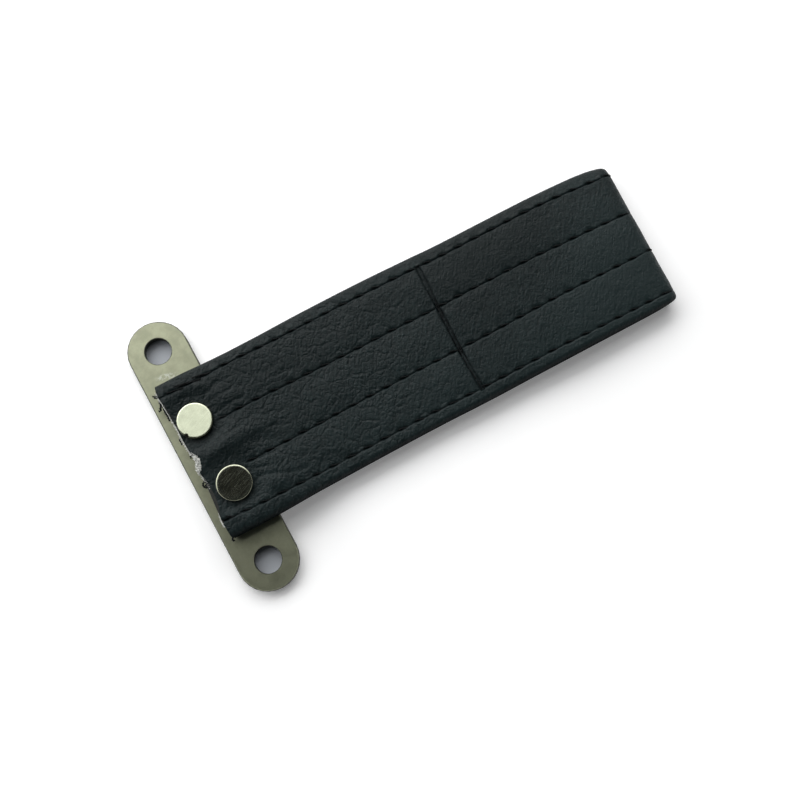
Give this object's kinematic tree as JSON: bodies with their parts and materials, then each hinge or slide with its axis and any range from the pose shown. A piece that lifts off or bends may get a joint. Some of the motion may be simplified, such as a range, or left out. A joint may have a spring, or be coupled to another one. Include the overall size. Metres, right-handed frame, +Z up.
{
  "type": "car door pull strap",
  "caption": "Flat door pull strap of black quilted leathercloth, folded into a sewn loop and riveted across a steel plate with a screw hole at each end.",
  "frame": {"origin": "middle of the mounting plate, on its flat back (underside)", "axes": "+X along the strap from the plate to the fold, +Y along the plate, +Z up out of the face that shows the rivet heads"},
  "size_m": [0.1275, 0.0718, 0.0089],
  "materials": {
    "plate_metal": "dull plated steel with an olive-grey cast and a thin dark line round every edge",
    "leathercloth": "near-black grained vinyl leathercloth, satin, with crackle creases near the plate and fine pebble grain near the fold",
    "webbing": "pale woven fibre, frayed at the cut",
    "rivet_metal": "nickel plate with a warm cast, finely brushed flat face and polished rim",
    "thread": "black twisted sewing thread"
  },
  "bodies": {
    "root": {"mounting_plate": "plate_metal", "strap_cover": "leathercloth", "strap_core": "webbing", "rivet_upper": "rivet_metal", "rivet_lower": "rivet_metal", "stitch_row_1": "thread", "stitch_row_2": "thread", "stitch_row_3": "thread", "stitch_row_4": "thread", "cross_seam_upper": "thread", "cross_seam_lower": "thread"}
  },
  "joints": []
}
